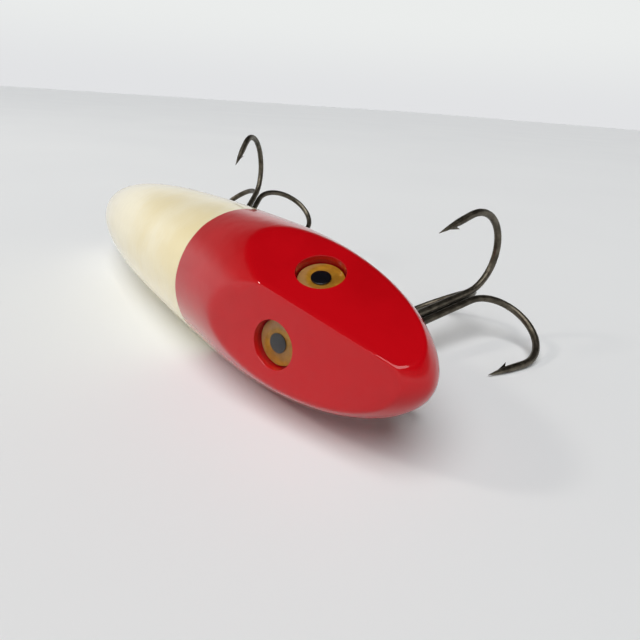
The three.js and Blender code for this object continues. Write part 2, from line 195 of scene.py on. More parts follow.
def gloss_enamel():
    material, tree, shader, place = begin_material(
        "gloss_enamel", Roughness=0.4, Specular_IOR_Level=0.05, Coat_Weight=1.0,
        Coat_Roughness=0.035, Coat_IOR=1.42)
    axes = add(tree, "ShaderNodeSeparateXYZ", {"Vector": place}).outputs
    wander = add(tree, "ShaderNodeTexNoise", {"Vector": place}, in_Scale=0.22, in_Detail=3.0)
    shifted = add(tree, "ShaderNodeMath", {0: wander.outputs["Fac"], 2: axes["X"]},
                  operation="MULTIPLY_ADD", in_1=PAINT_LINE_WANDER * 2)
    line = -PAINT_LINE_STATION + PAINT_LINE_WANDER
    red_head = curve_value(tree, shifted.outputs[0], line - PAINT_LINE_SOFTNESS,
                           line + PAINT_LINE_SOFTNESS)
    paint_step = curve_value(tree, shifted.outputs[0], line + PAINT_STEP_START,
                             line + PAINT_STEP_END)

    clouds = add(tree, "ShaderNodeTexNoise", {"Vector": place}, in_Scale=0.07, in_Detail=4.0,
                 in_Roughness=0.6)
    patches = curve_value(tree, clouds.outputs["Fac"], 0.35, 0.7)
    aged = blend(tree, patches, colour("EDE3C3"), colour("E6D7A9"))
    toward_tail = curve_value(tree, axes["X"], PALE_TAIL_END, PALE_TAIL_START, 0.55, 0.0)
    cream = blend(tree, toward_tail, aged, colour("F0EADA"))
    specks = add(tree, "ShaderNodeTexNoise", {"Vector": place}, in_Scale=2.2, in_Detail=2.0)
    grime = curve_value(tree, specks.outputs["Fac"], 0.68, 0.8, 0.0, 0.18)
    cream = blend(tree, grime, cream, colour("B79F6B"))
    red = blend(tree, patches, colour("B90410"), colour("AC020C"))
    tree.links.new(blend(tree, red_head, cream, red), shader.inputs["Base Color"])

    peel = add(tree, "ShaderNodeTexNoise", {"Vector": place}, in_Scale=0.55, in_Detail=2.0)
    fine = add(tree, "ShaderNodeTexNoise", {"Vector": place}, in_Scale=3.0, in_Detail=2.0)
    height = add(tree, "ShaderNodeMath", {0: fine.outputs["Fac"], 2: peel.outputs["Fac"]},
                 operation="MULTIPLY_ADD", in_1=0.06)
    stepped = add(tree, "ShaderNodeMath", {0: paint_step, 2: height.outputs[0]},
                  operation="MULTIPLY_ADD", in_1=0.9)
    bump = add(tree, "ShaderNodeBump", {"Height": stepped.outputs[0]}, in_Strength=0.5,
               in_Distance=0.05 * MM)
    tree.links.new(bump.outputs[0], shader.inputs["Normal"])
    tree.links.new(bump.outputs[0], shader.inputs["Coat Normal"])
    return material


ENAMEL = gloss_enamel()
print("enamel nodes:", len(ENAMEL.node_tree.nodes))

# %% [markdown]
# ## The eyes: glass, amber paint and black enamel
# Each eye is a low glass button. Its back is painted: a black spot first, then amber round
# it. Clear glass has an index of refraction near 1.5 and almost no roughness. A button this
# thin hardly tints what is behind it, so it is drawn nearly see-through and what is left of
# it is its reflection. The amber was dabbed on by hand, so it is mottled, with flecks a few
# tenths of a millimetre across, and browner round the pupil. A paler ring round its rim is a
# painted highlight, drawn the same all round.

# %% Eye glass, amber and pupil black
EYE_STATION, EYE_SIDE, EYE_HEIGHT = 15.9, 4.7, 5.23
AMBER_DEPTH = 1.0
# Where the painted highlight round the iris rim begins and ends, in mm from the eye's centre.
RIM_HIGHLIGHT_START, RIM_HIGHLIGHT_END = 2.05, 2.5
BROWN_HUB_START, BROWN_HUB_END = 1.75, 1.2


def clear_glass():
    material, tree, shader, place = begin_material(
        "clear_glass", Base_Color=colour("1C1206"), Roughness=0.04, IOR=1.5, Alpha=0.1)
    seeds = add(tree, "ShaderNodeTexNoise", {"Vector": place}, in_Scale=1.4, in_Detail=1.0)
    bump = add(tree, "ShaderNodeBump", {"Height": seeds.outputs["Fac"]}, in_Strength=0.2,
               in_Distance=0.02 * MM)
    tree.links.new(bump.outputs[0], shader.inputs["Normal"])
    return material


def amber_paint():
    material, tree, shader, place = begin_material(
        "amber_paint", Roughness=0.35, Coat_Weight=0.6, Coat_Roughness=0.05)
    cloud = add(tree, "ShaderNodeTexNoise", {"Vector": place}, in_Scale=1.1, in_Detail=3.0)
    fleck = add(tree, "ShaderNodeTexNoise", {"Vector": place}, in_Scale=5.0, in_Detail=2.0)
    clouds = curve_value(tree, cloud.outputs["Fac"], 0.38, 0.62)
    mottled = blend(tree, clouds, colour("CC9428"), colour("B07A1A"))
    flecks = curve_value(tree, fleck.outputs["Fac"], 0.58, 0.7, 0.0, 0.5)
    flecked = blend(tree, flecks, mottled, colour("D9A447"))
    mirrored = add(tree, "ShaderNodeVectorMath", {0: place}, operation="ABSOLUTE")
    from_eye = add(tree, "ShaderNodeVectorMath", {0: mirrored.outputs[0]}, operation="DISTANCE",
                   in_1=(EYE_STATION, EYE_SIDE, EYE_HEIGHT - AMBER_DEPTH))
    # The pale ring round the rim is a painted highlight, not a colour of the amber paint.
    rim = curve_value(tree, from_eye.outputs["Value"], RIM_HIGHLIGHT_START, RIM_HIGHLIGHT_END, 0.0, 0.75)
    hub = curve_value(tree, from_eye.outputs["Value"], BROWN_HUB_START, BROWN_HUB_END, 0.0, 0.35)
    with_rim_highlight = blend(tree, rim, flecked, colour("C89B62"))
    tree.links.new(blend(tree, hub, with_rim_highlight, colour("8E5F1A")), shader.inputs["Base Color"])
    return material


def black_enamel():
    material, tree, shader, place = begin_material(
        "black_enamel", Roughness=0.18, Coat_Weight=1.0, Coat_Roughness=0.03)
    # The black is mixed by noise with a dark blue: the blue is a painted reflection on the black
    # enamel.
    blue_sheen = add(tree, "ShaderNodeTexNoise", {"Vector": place}, in_Scale=2.0, in_Detail=2.0)
    tree.links.new(blend(tree, blue_sheen.outputs["Fac"], colour("08090D"), colour("101420")),
                   shader.inputs["Base Color"])
    return material


GLASS = clear_glass()
AMBER = amber_paint()
PUPIL_BLACK = black_enamel()
print("eye finishes:", GLASS.name, AMBER.name, PUPIL_BLACK.name)

# %% [markdown]
# ## The metals
# Three metals meet on a lure. The screw eyes, cups and washers are brass with a thin nickel
# plate that has dulled. The trebles are spring steel, bronzed dark brown against rust, with
# a few rust freckles and brighter steel where they rub. The trebles' three wires are bound
# with soft solder, which is paler and rougher than the steel. A metal keeps the default
# index of refraction, so colour and roughness say what it is.

# %% Plated brass, bronzed steel and solder


def worn_metal(name, dark, bright, dirt, roughness_low, roughness_high, grain):
    material, tree, shader, place = begin_material(name, Metallic=1.0)
    cloud = add(tree, "ShaderNodeTexNoise", {"Vector": place}, in_Scale=0.5 * grain,
                in_Detail=5.0, in_Roughness=0.65)
    pits = add(tree, "ShaderNodeTexNoise", {"Vector": place}, in_Scale=4.0 * grain,
               in_Detail=3.0)
    clouds = curve_value(tree, cloud.outputs["Fac"], 0.35, 0.65)
    metal = blend(tree, clouds, colour(dark), colour(bright))
    spots = curve_value(tree, pits.outputs["Fac"], 0.6, 0.72, 0.0, 0.8)
    tree.links.new(blend(tree, spots, metal, colour(dirt)), shader.inputs["Base Color"])
    dullness = curve_value(tree, pits.outputs["Fac"], 0.3, 0.7, roughness_low, roughness_high)
    tree.links.new(dullness, shader.inputs["Roughness"])
    bare = curve_value(tree, spots, 0.0, 0.8, 1.0, 0.45)
    tree.links.new(bare, shader.inputs["Metallic"])
    bump = add(tree, "ShaderNodeBump", {"Height": pits.outputs["Fac"]}, in_Strength=0.35,
               in_Distance=0.03 * MM)
    tree.links.new(bump.outputs[0], shader.inputs["Normal"])
    return material


PLATED_BRASS = worn_metal("dulled_nickel_plate", "8C8778", "B9B3A2", "6A5B3C", 0.22, 0.42, 1.0)
BRONZED_STEEL = worn_metal("bronzed_spring_steel", "4A453C", "6E685C", "4B3524", 0.3, 0.5, 1.0)
SOLDER = worn_metal("soft_solder", "6B675E", "8E897D", "4A4033", 0.42, 0.6, 1.4)
print("metals:", PLATED_BRASS.name, BRONZED_STEEL.name, SOLDER.name)

# %% [markdown]
# ## From bmesh to a finished piece
# Every piece goes through one function. It closes seams, turns the faces outwards, lays the
# piece into the frame, smooths what is round and keeps hard edges hard. Then the piece is hung
# on the body it moves with and the plain solid it stands for is hidden. Its finish is the
# material it was made with.

# %% Finish and cut pieces
SHARP_ANGLE = math.radians(38)
MERGE_DISTANCE = 1e-4


def piece_from(bm, name, material, place=Matrix.Identity(4)):
    """A mesh object from a bmesh in millimetres, laid into the row frame."""
    bmesh.ops.remove_doubles(bm, verts=bm.verts, dist=MERGE_DISTANCE)
    bmesh.ops.recalc_face_normals(bm, faces=bm.faces)
    mesh = bpy.data.meshes.new(name)
    bm.to_mesh(mesh)
    bm.free()
    mesh.transform(BODY_FRAME @ place)
    mesh.materials.append(material)
    piece = bpy.data.objects.new(name, mesh)
    bpy.context.scene.collection.objects.link(piece)
    return piece


def join_solids(piece, others, operation):
    """Cuts other pieces from a piece or joins them to it, and removes them."""
    for other in others:
        tool = piece.modifiers.new("tool", "BOOLEAN")
        tool.operation = operation
        tool.solver = "EXACT"
        tool.object = other
    bpy.context.view_layer.update()
    seen = piece.evaluated_get(bpy.context.evaluated_depsgraph_get())
    mesh = bpy.data.meshes.new_from_object(seen)
    piece.modifiers.clear()
    piece.data = mesh
    for other in others:
        bpy.data.objects.remove(other)


def finish(piece, body, node):
    """Smooths a piece, hangs it on the body it rides on and hides the plain solid it replaces."""
    piece.data.polygons.foreach_set("use_smooth", [True] * len(piece.data.polygons))
    piece.data.set_sharp_from_angle(angle=SHARP_ANGLE)
    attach(piece, body)
    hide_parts(node)
    triangles = sum(len(face.vertices) - 2 for face in piece.data.polygons)
    print(f"{piece.name}: {triangles} triangles")
    return piece


def turned(profile, sides=48, place=Matrix.Identity(4)):
    """A bmesh turned about Z from a profile of (radius, height) points."""
    bm = bmesh.new()
    points = [bm.verts.new((radius, 0, height)) for radius, height in profile]
    edges = [bm.edges.new(pair) for pair in zip(points, points[1:])]
    bmesh.ops.spin(bm, geom=points + edges, cent=(0, 0, 0), axis=(0, 0, 1), dvec=(0, 0, 0),
                   angle=2 * math.pi, steps=sides, use_merge=True, use_duplicate=False)
    bmesh.ops.transform(bm, matrix=place, verts=bm.verts)
    return bm


def arc(centre, radius, start, end, steps=6):
    """Points on an arc, with its angles in degrees from the radius direction."""
    angles = [math.radians(start + (end - start) * step / steps) for step in range(steps + 1)]
    return [(centre[0] + radius * math.cos(a), centre[1] + radius * math.sin(a)) for a in angles]


def facing(point, direction):
    """A frame at a point, whose +Z is the given direction."""
    turn = Vector((0, 0, 1)).rotation_difference(Vector(direction))
    return Matrix.Translation(point) @ turn.to_matrix().to_4x4()


print("sharp edges above", round(math.degrees(SHARP_ANGLE)), "degrees")

# %% [markdown]
# ## The body: turned, then planed
# The real body is turned on a lathe and then its head is planed twice, which leaves two flat
# facets and a ridge between them. A boolean with two boxes would leave knife edges, but
# enamel is thick and rounds every edge. So the outline is spun, and each point then takes
# the smaller of two heights: the lathe's and the plane's, with a soft change between them.

# %% Spin the outline and plane the head
RIDGE_HEIGHT, RIDGE_SLOPE, FACET_FALL = 2.7, 0.367, 0.703
EDGE_SOFTNESS = 0.18
CREST_HALF_WIDTH = 0.12
HEAD_STATION, HEAD_STEPS, BACK_STEPS, BODY_SIDES = 30.0, 120, 80, 168
TAIL_RIM = 0.35


def soft_minimum(first, second, softness):
    """The smaller value, with a rounded change from one to the other."""
    share = min(1.0, max(0.0, 0.5 + 0.5 * (second - first) / softness))
    return second + (first - second) * share - softness * share * (1 - share)


def body_outline():
    """The lathe's outline as (radius, station) points, closer together near the nose."""
    head = [HEAD_STATION * (step / HEAD_STEPS) ** 1.6 for step in range(HEAD_STEPS)]
    rim_station = TAIL_CUT_STATION - TAIL_RIM
    back_length = rim_station - HEAD_STATION
    back = [HEAD_STATION + back_length * step / BACK_STEPS for step in range(BACK_STEPS)]
    outline = [(body_radius(station) if station else 0.0, station) for station in head + back]
    rim_centre = (body_radius(rim_station) - TAIL_RIM, rim_station)
    return outline + arc(rim_centre, TAIL_RIM, 0, 90) + [(0.0, TAIL_CUT_STATION)]


def plane_head(bm):
    for vert in bm.verts:
        station, side, up = -vert.co.x, abs(vert.co.y), vert.co.z
        radius = math.hypot(side, up)
        if radius == 0 or station > HEAD_STATION:
            continue
        soft_side = math.hypot(side, CREST_HALF_WIDTH) / radius
        fall = up / radius + FACET_FALL * soft_side
        if fall <= 0:
            continue
        planed = (RIDGE_HEIGHT + RIDGE_SLOPE * station) / fall
        factor = soft_minimum(radius, planed, EDGE_SOFTNESS) / radius
        vert.co.y *= factor
        vert.co.z *= factor


along_body = Matrix.Rotation(math.radians(-90), 4, "Y")
bm = turned(body_outline(), BODY_SIDES, along_body)
bmesh.ops.remove_doubles(bm, verts=bm.verts, dist=MERGE_DISTANCE)
plane_head(bm)
body = piece_from(bm, "enamelled_body", ENAMEL)
print("body faces before drilling:", len(body.data.polygons))

# %% [markdown]
# ## Drilling the body
# Each eye has a drilled socket, each treble a round recess for its cup, and each small screw
# eye a pilot hole with a spot face. A cutter is the drill's own shape, turned from an
# outline. Its top flares out along an arc, so that the hole it leaves has a rounded lip of
# paint and no bare corner. The lip is wide on the cups' recesses and thin on the eyes', where
# the glass nearly fills its socket. Each hole is one clearance wider than what sits in it.

# %% Places of the holes
CLEARANCE = 0.15
EYE_RADIUS, PUPIL_RADIUS, STEM_RADIUS, STEM_LENGTH = 2.6, 1.13, 0.4, 4.0
IRIS_BOTTOM = -1.35
EYE_LIP, EYE_LIP_RISE = 0.14, 0.03
CUTTER_TOP = 2.0
WIRE_RADIUS, HANGER_SHANK, HANGER_BORE_DEPTH = 0.55, 9.0, 11.2
CUP_LIP, CUP_LIP_DEPTH, CUP_LIP_END = 0.4, 1.05, 105
CUP_FLOOR_SHARE = 0.75
TIE_WIRE_RADIUS, TIE_RING_RADIUS, TIE_SHANK, TIE_RING_LIFT = 0.5, 1.6, 7.0, 2.8
TIE_BORE_DEPTH, TIE_SEAT_RISE = 8.0, 4.0
CUP_RADIUS, CUP_FLOOR, CUP_RIM, CUP_CORNER, CUP_THICKNESS = 4.0, -3.25, -0.95, 1.0, 0.4
WASHER_RADIUS = 2.1
LINE_TIE_STATION, LINE_TIE_TILT, LINE_TIE_SINK = 10.0, math.radians(70), 0.6
SIDES = {"left": 1, "right": -1}


def eye_frame(side):
    height = RIDGE_HEIGHT + RIDGE_SLOPE * EYE_STATION - FACET_FALL * EYE_SIDE
    return facing((-EYE_STATION, side * EYE_SIDE, height), (RIDGE_SLOPE, side * FACET_FALL, 1))


def hanger_frame(station):
    belly = Matrix.Translation((-station, 0, -body_radius(station)))
    return belly @ Matrix.Rotation(math.pi, 4, "X")


def tie_frames():
    """The seats of the line tie under the chin and of the small eye at the tail."""
    out = Vector((math.cos(LINE_TIE_TILT), 0, -math.sin(LINE_TIE_TILT)))
    chin = Vector((-LINE_TIE_STATION, 0, -body_radius(LINE_TIE_STATION)))
    quarter = Matrix.Rotation(math.pi / 2, 4, "Z")
    return {
        "line_tie": facing(chin - out * LINE_TIE_SINK, out) @ quarter,
        "tail": facing((-TAIL_CUT_STATION, 0, 0), (-1, 0, 0)),
    }


print("eye socket centre, mm:", [round(value, 2) for value in eye_frame(1).translation])

# %% Cut the holes
def eye_cutter():
    wall = EYE_RADIUS + CLEARANCE
    bore = STEM_RADIUS + CLEARANCE
    floor = IRIS_BOTTOM - CLEARANCE
    bore_floor = floor - CLEARANCE - STEM_LENGTH - CLEARANCE
    rim = wall + EYE_LIP
    lip = arc((rim, EYE_LIP_RISE - EYE_LIP), EYE_LIP, 180, 90, 8)
    return [(0, bore_floor), (bore, bore_floor), (bore, floor), (wall, floor), *lip,
            (rim, CUTTER_TOP), (0, CUTTER_TOP)]


def cup_cutter():
    wall = CUP_RADIUS + CLEARANCE
    bore = WIRE_RADIUS + CLEARANCE
    floor = CUP_FLOOR - CLEARANCE
    lip = arc((wall + CUP_LIP, -CUP_LIP_DEPTH), CUP_LIP, 180, CUP_LIP_END, 6)
    return [(0, -HANGER_BORE_DEPTH), (bore, -HANGER_BORE_DEPTH), (bore, floor),
            (wall * CUP_FLOOR_SHARE, floor), (wall, floor + CUP_CORNER), *lip,
            (lip[-1][0], CUTTER_TOP), (0, CUTTER_TOP)]


def tie_cutter():
    wall = WASHER_RADIUS + CLEARANCE
    bore = TIE_WIRE_RADIUS + CLEARANCE
    return [(0, -TIE_BORE_DEPTH), (bore, -TIE_BORE_DEPTH), (bore, 0), (wall, 0),
            (wall, TIE_SEAT_RISE), (0, TIE_SEAT_RISE)]


def cutter(profile, place):
    return piece_from(turned(profile, 64, place), "cutter", ENAMEL)


cutters = [cutter(eye_cutter(), eye_frame(side)) for side in SIDES.values()]
cutters += [cutter(cup_cutter(), hanger_frame(treble["station"])) for treble in TREBLES.values()]
cutters += [cutter(tie_cutter(), place) for place in tie_frames().values()]
join_solids(body, cutters, "DIFFERENCE")
finish(body, "body", "wooden_body")

# %% [markdown]
# ## The eyes
# A glass eye is a low button on a wire stem. The stack from the outside is clear glass, a
# black spot, an amber disc and the stem. Each is turned from a few points, with small arcs
# where glass would be fire-polished, because a sharp rim would not catch the light.

# %% Glass, pupil, iris and stem
GLASS_BACK, GLASS_SHOULDER, GLASS_TOP, GLASS_FILLET = -0.65, -0.44, -0.16, 0.08
PUPIL_BOTTOM, PUPIL_TOP, IRIS_TOP = -1.0, -0.8, -1.02
STEM_TOP = IRIS_BOTTOM - 2 * CLEARANCE


def glass_outline():
    corner = (EYE_RADIUS - GLASS_FILLET, GLASS_BACK + GLASS_FILLET)
    rim = arc(corner, GLASS_FILLET, -90, 0, 4)
    rise = GLASS_TOP - GLASS_SHOULDER
    angles = [math.radians(90 * step / 16) for step in range(17)]
    dome = [(EYE_RADIUS * math.cos(a), GLASS_SHOULDER + rise * math.sin(a)) for a in angles]
    return [(0, GLASS_BACK), *rim, *dome[:-1], (0, GLASS_TOP)]


def disc_outline(radius, bottom, top, fillet=0.06):
    lower = arc((radius - fillet, bottom + fillet), fillet, -90, 0, 3)
    upper = arc((radius - fillet, top - fillet), fillet, 0, 90, 3)
    return [(0, bottom), *lower, *upper, (0, top)]


EYE_STACK = {
    "glass": (glass_outline(), GLASS, "eye_glass"),
    "pupil": (disc_outline(PUPIL_RADIUS, PUPIL_BOTTOM, PUPIL_TOP), PUPIL_BLACK, "pupil_black"),
    "iris": (disc_outline(EYE_RADIUS, IRIS_BOTTOM, IRIS_TOP), AMBER, "eye_amber"),
    "stem": (disc_outline(STEM_RADIUS, STEM_TOP - STEM_LENGTH, STEM_TOP), PLATED_BRASS,
             "plated_brass"),
}
for side_name, side in SIDES.items():
    for part, (outline, material, slot) in EYE_STACK.items():
        node = f"{side_name}_eye_{part}"
        piece = piece_from(turned(outline, 64, eye_frame(side)), f"{node}_fine", material)
        finish(piece, "body", node)

# %% [markdown]
# ## Bent wire
# The screw eyes and the trebles are bent from round wire. A curve object with a bevel could
# do this, but it can't taper to a point and stay one closed mesh. So a circle is extruded
# along the path one step at a time, and each new ring is turned and scaled to suit.

# %% Sweep a wire
RING_START = 0.35
SHANK_STEPS, RING_STEPS = 12, 40


def smoothed(path, rounds=2):
    """Cuts the corners of a path of (point, radius) pairs and keeps its two ends."""
    for _ in range(rounds):
        cut = [path[0]]
        for (start, start_radius), (end, end_radius) in zip(path, path[1:]):
            for share in (0.25, 0.75):
                radius = start_radius + (end_radius - start_radius) * share
                cut.append((start.lerp(end, share), radius))
        path = cut + [path[-1]]
    return path


def swept_wire(path, sides=20):
    """A closed bmesh of round wire along a path of (point, radius) pairs."""
    bm = bmesh.new()
    (centre, radius), heading = path[0], (path[1][0] - path[0][0]).normalized()
    bmesh.ops.create_circle(bm, cap_ends=True, radius=radius, segments=sides,
                            matrix=facing(centre, heading))
    ring = list(bm.edges)
    for step in range(1, len(path)):
        after = path[min(step + 1, len(path) - 1)][0]
        next_centre, next_radius = path[step]
        next_heading = (after - path[step - 1][0]).normalized()
        made = bmesh.ops.extrude_edge_only(bm, edges=ring)["geom"]
        verts = {item for item in made if isinstance(item, bmesh.types.BMVert)}
        ring = [item for item in made
                if isinstance(item, bmesh.types.BMEdge) and set(item.verts) <= verts]
        turn = heading.rotation_difference(next_heading).to_matrix().to_4x4()
        move = (Matrix.Translation(next_centre) @ turn
                @ Matrix.Scale(next_radius / radius, 4) @ Matrix.Translation(-centre))
        bmesh.ops.transform(bm, matrix=move, verts=list(verts))
        centre, radius, heading = next_centre, next_radius, next_heading
    bmesh.ops.contextual_create(bm, geom=ring)
    return bm


def screw_eye_path(ring_radius, wire_radius, shank):
    """A straight shank and a ring bent nearly shut. The ring's centre is the origin."""
    neck = -(ring_radius + wire_radius)
    path = []
    for step in range(SHANK_STEPS + 1):
        path.append((Vector((0, 0, neck - shank * (1 - step / SHANK_STEPS))), wire_radius))
    opening = (2 * wire_radius + 2 * CLEARANCE) / ring_radius
    swept = 2 * math.pi - RING_START - opening
    for step in range(RING_STEPS + 1):
        angle = RING_START + swept * step / RING_STEPS
        point = Vector((0, ring_radius * math.sin(angle), -ring_radius * math.cos(angle)))
        path.append((point, wire_radius))
    return smoothed(path)


print("hanger path steps:", len(screw_eye_path(HANGER_RING_RADIUS, WIRE_RADIUS, HANGER_SHANK)))

# %% [markdown]
# ## Hangers: a pressed cup and a screw eye
# The cup is pressed from thin sheet, so its rim is rolled over and smooth. The screw eye goes
# through the cup into the belly, and its ring stands half out, where the treble hangs. The
# line tie and the tail eye are the same shape, smaller, and each sits on a round washer.

# %% Cups, hanger eyes, washers and tie eyes
WASHER_BOTTOM, WASHER_TOP = 0.15, 0.55


def cup_outline():
    inner = CUP_RADIUS - CUP_THICKNESS
    rim_middle = (CUP_RADIUS - CUP_THICKNESS / 2, CUP_RIM - CUP_THICKNESS / 2)
    bore = WIRE_RADIUS + CLEARANCE
    outside = arc((CUP_RADIUS - CUP_CORNER, CUP_FLOOR + CUP_CORNER), CUP_CORNER, -90, 0, 8)
    rim = arc(rim_middle, CUP_THICKNESS / 2, 0, 180, 8)
    inner_round = CUP_CORNER - CUP_THICKNESS
    inside = arc((inner - inner_round, CUP_FLOOR + CUP_CORNER), inner_round, 0, -90, 8)
    floor = [(bore, CUP_FLOOR + CUP_THICKNESS), (bore, CUP_FLOOR)]
    return [(bore, CUP_FLOOR), *outside, *rim, *inside, *floor]


def washer_outline():
    bore = TIE_WIRE_RADIUS + CLEARANCE
    middle = (WASHER_BOTTOM + WASHER_TOP) / 2
    half = (WASHER_TOP - WASHER_BOTTOM) / 2
    outside = arc((WASHER_RADIUS - half, middle), half, -90, 90, 8)
    inside = arc((bore + half, middle), half, 90, 270, 8)
    return [*outside, *inside, outside[0]]


for name, treble in TREBLES.items():
    place = hanger_frame(treble["station"])
    cup = piece_from(turned(cup_outline(), 64, place), f"{name}_pressed_cup", PLATED_BRASS)
    finish(cup, "body", f"{name}_hanger_cup")
    bm = swept_wire(screw_eye_path(HANGER_RING_RADIUS, WIRE_RADIUS, HANGER_SHANK))
    lift = Matrix.Translation((0, 0, HANGER_STAND_OFF))
    eye = piece_from(bm, f"{name}_hanger_wire_eye", PLATED_BRASS, place @ lift)
    finish(eye, "body", f"{name}_hanger_screw_eye")

for name, place in tie_frames().items():
    washer = piece_from(turned(washer_outline(), 48, place), f"{name}_round_washer", PLATED_BRASS)
    finish(washer, "body", f"{name}_washer")
    bm = swept_wire(screw_eye_path(TIE_RING_RADIUS, TIE_WIRE_RADIUS, TIE_SHANK))
    lift = Matrix.Translation((0, 0, TIE_RING_LIFT))
    eye = piece_from(bm, f"{name}_wire_eye", PLATED_BRASS, place @ lift)
    finish(eye, "body", f"{name}_screw_eye")

# %% [markdown]
# ## Treble hooks
# A treble is two pieces of wire. One runs from point to point and is bent round the eye in
# its middle; the other is a single hook laid in the groove between the two shanks. Solder
# binds all three. Each point is ground to a long taper and its barb is a sliver cut up from
# the inside of the wire, so the barb is a thin blade joined to the point.

# %% Wire paths of the hooks
BUNDLE_RADIUS, HOOK_REACH, BEND_START = 0.78, 13.4, 22.1
PRONG_AZIMUTH = math.radians(120)
POINT_TURN = math.atan(0.173)
POINT_REACH = 6.95
BARB_START, BARB_HEIGHT, BARB_SPREAD, BARB_THICKNESS = 2.6, 3.1, 1.1, 0.32
BARB_TIP, BARB_NECK, BARB_NECK_SPREAD, BARB_EDGE = 0.05, 0.7, 0.5, 0.06
# Each pair is a share of the point's run and the share of the wire's radius left there.
SPEAR_TAPER = [(0.18, 1.0), (0.37, 0.98), (0.5, 0.86), (0.65, 0.68), (0.8, 0.45), (0.92, 0.22),
               (1.0, 0.05)]
SHANK_START, SINGLE_HOOK_DROP = 3.1, 0.9
BEND_STEPS, EYE_STEPS = 24, 24
TREBLE_EYE_RADIUS, TREBLE_EYE_DROP, TREBLE_EYE_OPENING = 1.75, 0.4, 0.62


def prong_path(azimuth, top):
    """One prong from the top of its shank, round the bend and along the point to its tip."""
    out = Vector((math.cos(azimuth), math.sin(azimuth), 0))
    bend = (HOOK_REACH - BUNDLE_RADIUS) / 2

    def at(reach, depth, share=1.0):
        return out * reach + Vector((0, 0, -depth)), WIRE_RADIUS * share

    shank = BEND_START - top
    path = [at(BUNDLE_RADIUS, top + shank * step / SHANK_STEPS) for step in range(SHANK_STEPS)]
    for step in range(BEND_STEPS + 1):
        angle = (math.pi + POINT_TURN) * step / BEND_STEPS
        reach = BUNDLE_RADIUS + bend * (1 - math.cos(angle))
        depth = BEND_START + bend * math.sin(angle)
        path.append(at(reach, depth))
    for share, radius_share in SPEAR_TAPER:
        run = POINT_REACH * share
        path.append(at(reach - run * math.sin(POINT_TURN), depth - run * math.cos(POINT_TURN),
                       radius_share))
    return path


def double_hook_path():
    swept = 2 * math.pi - 2 * TREBLE_EYE_OPENING
    loop = []
    for step in range(EYE_STEPS + 1):
        angle = -math.pi / 2 - TREBLE_EYE_OPENING - swept * step / EYE_STEPS
        y = -TREBLE_EYE_RADIUS * math.cos(angle)
        z = TREBLE_EYE_RADIUS * math.sin(angle) - TREBLE_EYE_DROP
        loop.append((Vector((0, y, z)), WIRE_RADIUS))
    first = prong_path(PRONG_AZIMUTH, SHANK_START)
    second = prong_path(-PRONG_AZIMUTH, SHANK_START)
    return first[::-1] + loop + second


def barb(azimuth, place):
    """A thin blade on the inside of a point, leaning back from it."""
    bend = (HOOK_REACH - BUNDLE_RADIUS) / 2
    angle = math.pi + POINT_TURN
    reach = BUNDLE_RADIUS + bend * (1 - math.cos(angle)) - BARB_START * math.sin(POINT_TURN)
    height = -BEND_START - bend * math.sin(angle) + BARB_START * math.cos(POINT_TURN)
    root = Vector((reach, 0, height))
    half = BARB_THICKNESS / 2
    outline = [(0, half, BARB_HEIGHT), (-BARB_SPREAD, half, BARB_TIP),
               (-BARB_NECK_SPREAD, half, BARB_NECK), (0, half, BARB_NECK)]
    bm = bmesh.new()
    face = bm.faces.new([bm.verts.new(corner) for corner in outline])
    made = bmesh.ops.extrude_face_region(bm, geom=[face])["geom"]
    moved = [item for item in made if isinstance(item, bmesh.types.BMVert)]
    bmesh.ops.translate(bm, verts=moved, vec=(0, -BARB_THICKNESS, 0))
    bmesh.ops.bevel(bm, geom=list(bm.edges), offset=BARB_EDGE, segments=2, profile=0.5,
                    affect="EDGES", material=-1)
    spin = Matrix.Rotation(azimuth, 4, "Z")
    heading = (-math.sin(POINT_TURN), 0, math.cos(POINT_TURN))
    return piece_from(bm, "barb", BRONZED_STEEL, place @ spin @ facing(root, heading))


print("double hook path steps:", len(smoothed(double_hook_path(), 1)))

# %% Trebles and their solder
COLLAR_TOP, COLLAR_LENGTH, COLLAR_END_RADIUS = 4.2, 3.6, 1.18
COLLAR_SWELL, COLLAR_LOBE = 0.33, 0.1
COLLAR_LEVELS, COLLAR_SIDES = 14, 48


def treble_frame(treble):
    lean, trail, twist = (math.radians(treble[key]) for key in ("lean", "trail", "twist"))
    turn = (Matrix.Rotation(lean, 4, "X") @ Matrix.Rotation(trail, 4, "Y")
            @ Matrix.Rotation(twist, 4, "Z"))
    return Matrix.Translation(hanging_point(treble)) @ turn


def solder_bead():
    """Solder round three wires: a sleeve that is lobed over each wire and thin at its ends."""
    bm = bmesh.new()
    bmesh.ops.create_circle(bm, cap_ends=True, radius=COLLAR_END_RADIUS, segments=COLLAR_SIDES,
                            matrix=Matrix.Translation((0, 0, -COLLAR_TOP - COLLAR_LENGTH)))
    ring = list(bm.edges)
    for level in range(1, COLLAR_LEVELS + 1):
        made = bmesh.ops.extrude_edge_only(bm, edges=ring)["geom"]
        verts = [item for item in made if isinstance(item, bmesh.types.BMVert)]
        known = set(verts)
        ring = [item for item in made
                if isinstance(item, bmesh.types.BMEdge) and set(item.verts) <= known]
        share = level / COLLAR_LEVELS
        fullness = math.sin(math.pi * share)
        for vert in verts:
            angle = math.atan2(vert.co.y, vert.co.x)
            swell = (1.0 + COLLAR_SWELL * math.sqrt(fullness + 1e-9)
                     + COLLAR_LOBE * math.cos(3 * angle) * fullness)
            vert.co.x = COLLAR_END_RADIUS * swell * math.cos(angle)
            vert.co.y = COLLAR_END_RADIUS * swell * math.sin(angle)
            vert.co.z = -COLLAR_TOP - COLLAR_LENGTH * (1 - share)
    bmesh.ops.contextual_create(bm, geom=ring)
    return bm


